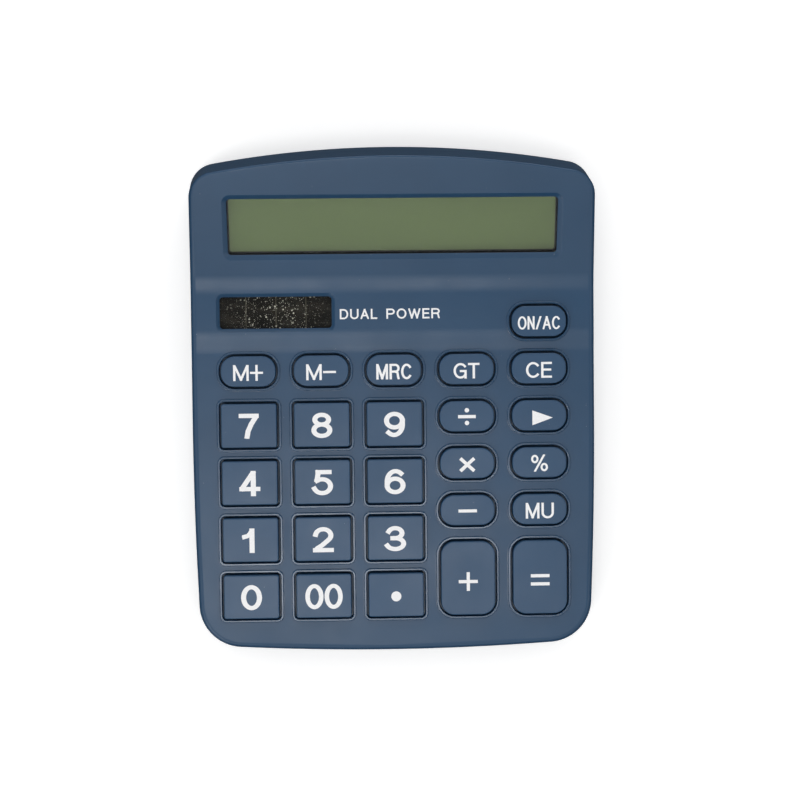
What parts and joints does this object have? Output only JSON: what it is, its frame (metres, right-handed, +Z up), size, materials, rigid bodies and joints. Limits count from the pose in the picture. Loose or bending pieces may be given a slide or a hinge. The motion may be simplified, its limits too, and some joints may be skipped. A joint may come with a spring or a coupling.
{
  "type": "desktop calculator",
  "caption": "Wedge-shaped desktop calculator with a tilted display, a solar cell, digit and function keys, a battery door and rubber feet.",
  "frame": {"origin": "on the plane that the feet stand on, under the middle of the body", "axes": "+X to the user's right, +Y to the rear towards the display, +Z up"},
  "size_m": [0.1206, 0.151, 0.0338],
  "materials": {
    "case_plastic": "moulded ABS with a fine even texture, dark slate blue",
    "key_plastic": "moulded ABS a little lighter than the case, with printed white legends",
    "clear_window": "clear acrylic sheet",
    "lcd_panel": "grey-green reflective liquid crystal display, blank",
    "frame_plastic": "white moulded plastic",
    "ribbon_film": "amber polyimide film with printed tracks",
    "solar_silicon": "black-brown amorphous silicon on glass",
    "board_laminate": "green solder mask over glass laminate",
    "membrane_rubber": "pale grey silicone rubber",
    "epoxy": "black epoxy and shrink sleeve",
    "cell_can": "printed film sleeve over a metal can",
    "contact_steel": "nickel-plated spring steel",
    "contact_brass": "bare brass",
    "wire_black": "black PVC insulation",
    "wire_red": "red PVC insulation",
    "foot_rubber": "black moulded rubber",
    "screw_steel": "zinc-plated steel"
  },
  "bodies": {
    "case": {"front_cover": "case_plastic", "back_cover": "case_plastic", "display_window": "clear_window", "solar_window": "clear_window", "lcd_glass": "lcd_panel", "lcd_frame": "frame_plastic", "lcd_ribbon": "ribbon_film", "solar_cell": "solar_silicon", "circuit_board": "board_laminate", "keypad_membrane": "membrane_rubber", "chip_blob": "epoxy", "capacitor": "epoxy", "battery_cell": "cell_can", "battery_spring": "contact_steel", "battery_contact_negative": "contact_steel", "battery_contact_positive": "contact_brass", "battery_wire_black": "wire_black", "battery_wire_red": "wire_red", "solar_wire_black": "wire_black", "solar_wire_red": "wire_red", "rubber_foot_1": "foot_rubber", "rubber_foot_2": "foot_rubber", "rubber_foot_3": "foot_rubber", "rubber_foot_4": "foot_rubber", "case_screw_1": "screw_steel", "case_screw_2": "screw_steel", "case_screw_3": "screw_steel", "case_screw_4": "screw_steel", "case_screw_5": "screw_steel", "case_screw_6": "screw_steel", "board_screw_1": "screw_steel", "board_screw_2": "screw_steel", "board_screw_3": "screw_steel"},
    "key_m_plus": {"key_m_plus": "key_plastic"},
    "key_m_minus": {"key_m_minus": "key_plastic"},
    "key_mrc": {"key_mrc": "key_plastic"},
    "key_gt": {"key_gt": "key_plastic"},
    "key_ce": {"key_ce": "key_plastic"},
    "key_divide": {"key_divide": "key_plastic"},
    "key_backspace": {"key_backspace": "key_plastic"},
    "key_times": {"key_times": "key_plastic"},
    "key_percent": {"key_percent": "key_plastic"},
    "key_minus": {"key_minus": "key_plastic"},
    "key_mu": {"key_mu": "key_plastic"},
    "key_plus": {"key_plus": "key_plastic"},
    "key_equals": {"key_equals": "key_plastic"},
    "key_7": {"key_7": "key_plastic"},
    "key_8": {"key_8": "key_plastic"},
    "key_9": {"key_9": "key_plastic"},
    "key_4": {"key_4": "key_plastic"},
    "key_5": {"key_5": "key_plastic"},
    "key_6": {"key_6": "key_plastic"},
    "key_1": {"key_1": "key_plastic"},
    "key_2": {"key_2": "key_plastic"},
    "key_3": {"key_3": "key_plastic"},
    "key_0": {"key_0": "key_plastic"},
    "key_00": {"key_00": "key_plastic"},
    "key_point": {"key_point": "key_plastic"},
    "key_on_ac": {"key_on_ac": "key_plastic"},
    "battery_door": {"battery_door": "case_plastic"}
  },
  "joints": [
    {"name": "press_m_plus", "type": "slide", "parent": "case", "child": "key_m_plus", "axis": [0, 0.0698, -0.9976], "range_m": [0, 0.0012], "stiffness_N_per_m": 500, "deforming": ["keypad_membrane"]},
    {"name": "press_m_minus", "type": "slide", "parent": "case", "child": "key_m_minus", "axis": [0, 0.0698, -0.9976], "range_m": [0, 0.0012], "stiffness_N_per_m": 500, "deforming": ["keypad_membrane"]},
    {"name": "press_mrc", "type": "slide", "parent": "case", "child": "key_mrc", "axis": [0, 0.0698, -0.9976], "range_m": [0, 0.0012], "stiffness_N_per_m": 500, "deforming": ["keypad_membrane"]},
    {"name": "press_gt", "type": "slide", "parent": "case", "child": "key_gt", "axis": [0, 0.0698, -0.9976], "range_m": [0, 0.0012], "stiffness_N_per_m": 500, "deforming": ["keypad_membrane"]},
    {"name": "press_ce", "type": "slide", "parent": "case", "child": "key_ce", "axis": [0, 0.0698, -0.9976], "range_m": [0, 0.0012], "stiffness_N_per_m": 500, "deforming": ["keypad_membrane"]},
    {"name": "press_divide", "type": "slide", "parent": "case", "child": "key_divide", "axis": [0, 0.0698, -0.9976], "range_m": [0, 0.0012], "stiffness_N_per_m": 500, "deforming": ["keypad_membrane"]},
    {"name": "press_backspace", "type": "slide", "parent": "case", "child": "key_backspace", "axis": [0, 0.0698, -0.9976], "range_m": [0, 0.0012], "stiffness_N_per_m": 500, "deforming": ["keypad_membrane"]},
    {"name": "press_times", "type": "slide", "parent": "case", "child": "key_times", "axis": [0, 0.0698, -0.9976], "range_m": [0, 0.0012], "stiffness_N_per_m": 500, "deforming": ["keypad_membrane"]},
    {"name": "press_percent", "type": "slide", "parent": "case", "child": "key_percent", "axis": [0, 0.0698, -0.9976], "range_m": [0, 0.0012], "stiffness_N_per_m": 500, "deforming": ["keypad_membrane"]},
    {"name": "press_minus", "type": "slide", "parent": "case", "child": "key_minus", "axis": [0, 0.0698, -0.9976], "range_m": [0, 0.0012], "stiffness_N_per_m": 500, "deforming": ["keypad_membrane"]},
    {"name": "press_mu", "type": "slide", "parent": "case", "child": "key_mu", "axis": [0, 0.0698, -0.9976], "range_m": [0, 0.0012], "stiffness_N_per_m": 500, "deforming": ["keypad_membrane"]},
    {"name": "press_plus", "type": "slide", "parent": "case", "child": "key_plus", "axis": [0, 0.0698, -0.9976], "range_m": [0, 0.0012], "stiffness_N_per_m": 500, "deforming": ["keypad_membrane"]},
    {"name": "press_equals", "type": "slide", "parent": "case", "child": "key_equals", "axis": [0, 0.0698, -0.9976], "range_m": [0, 0.0012], "stiffness_N_per_m": 500, "deforming": ["keypad_membrane"]},
    {"name": "press_7", "type": "slide", "parent": "case", "child": "key_7", "axis": [0, 0.0698, -0.9976], "range_m": [0, 0.0012], "stiffness_N_per_m": 500, "deforming": ["keypad_membrane"]},
    {"name": "press_8", "type": "slide", "parent": "case", "child": "key_8", "axis": [0, 0.0698, -0.9976], "range_m": [0, 0.0012], "stiffness_N_per_m": 500, "deforming": ["keypad_membrane"]},
    {"name": "press_9", "type": "slide", "parent": "case", "child": "key_9", "axis": [0, 0.0698, -0.9976], "range_m": [0, 0.0012], "stiffness_N_per_m": 500, "deforming": ["keypad_membrane"]},
    {"name": "press_4", "type": "slide", "parent": "case", "child": "key_4", "axis": [0, 0.0698, -0.9976], "range_m": [0, 0.0012], "stiffness_N_per_m": 500, "deforming": ["keypad_membrane"]},
    {"name": "press_5", "type": "slide", "parent": "case", "child": "key_5", "axis": [0, 0.0698, -0.9976], "range_m": [0, 0.0012], "stiffness_N_per_m": 500, "deforming": ["keypad_membrane"]},
    {"name": "press_6", "type": "slide", "parent": "case", "child": "key_6", "axis": [0, 0.0698, -0.9976], "range_m": [0, 0.0012], "stiffness_N_per_m": 500, "deforming": ["keypad_membrane"]},
    {"name": "press_1", "type": "slide", "parent": "case", "child": "key_1", "axis": [0, 0.0698, -0.9976], "range_m": [0, 0.0012], "stiffness_N_per_m": 500, "deforming": ["keypad_membrane"]},
    {"name": "press_2", "type": "slide", "parent": "case", "child": "key_2", "axis": [0, 0.0698, -0.9976], "range_m": [0, 0.0012], "stiffness_N_per_m": 500, "deforming": ["keypad_membrane"]},
    {"name": "press_3", "type": "slide", "parent": "case", "child": "key_3", "axis": [0, 0.0698, -0.9976], "range_m": [0, 0.0012], "stiffness_N_per_m": 500, "deforming": ["keypad_membrane"]},
    {"name": "press_0", "type": "slide", "parent": "case", "child": "key_0", "axis": [0, 0.0698, -0.9976], "range_m": [0, 0.0012], "stiffness_N_per_m": 500, "deforming": ["keypad_membrane"]},
    {"name": "press_00", "type": "slide", "parent": "case", "child": "key_00", "axis": [0, 0.0698, -0.9976], "range_m": [0, 0.0012], "stiffness_N_per_m": 500, "deforming": ["keypad_membrane"]},
    {"name": "press_point", "type": "slide", "parent": "case", "child": "key_point", "axis": [0, 0.0698, -0.9976], "range_m": [0, 0.0012], "stiffness_N_per_m": 500, "deforming": ["keypad_membrane"]},
    {"name": "press_on_ac", "type": "slide", "parent": "case", "child": "key_on_ac", "axis": [0, 0.0698, -0.9976], "range_m": [0, 0.0012], "stiffness_N_per_m": 500, "deforming": ["keypad_membrane"]},
    {"name": "battery_door_slide", "type": "slide", "parent": "case", "child": "battery_door", "axis": [0, 1, 0], "range_m": [0, 0.024]}
  ]
}
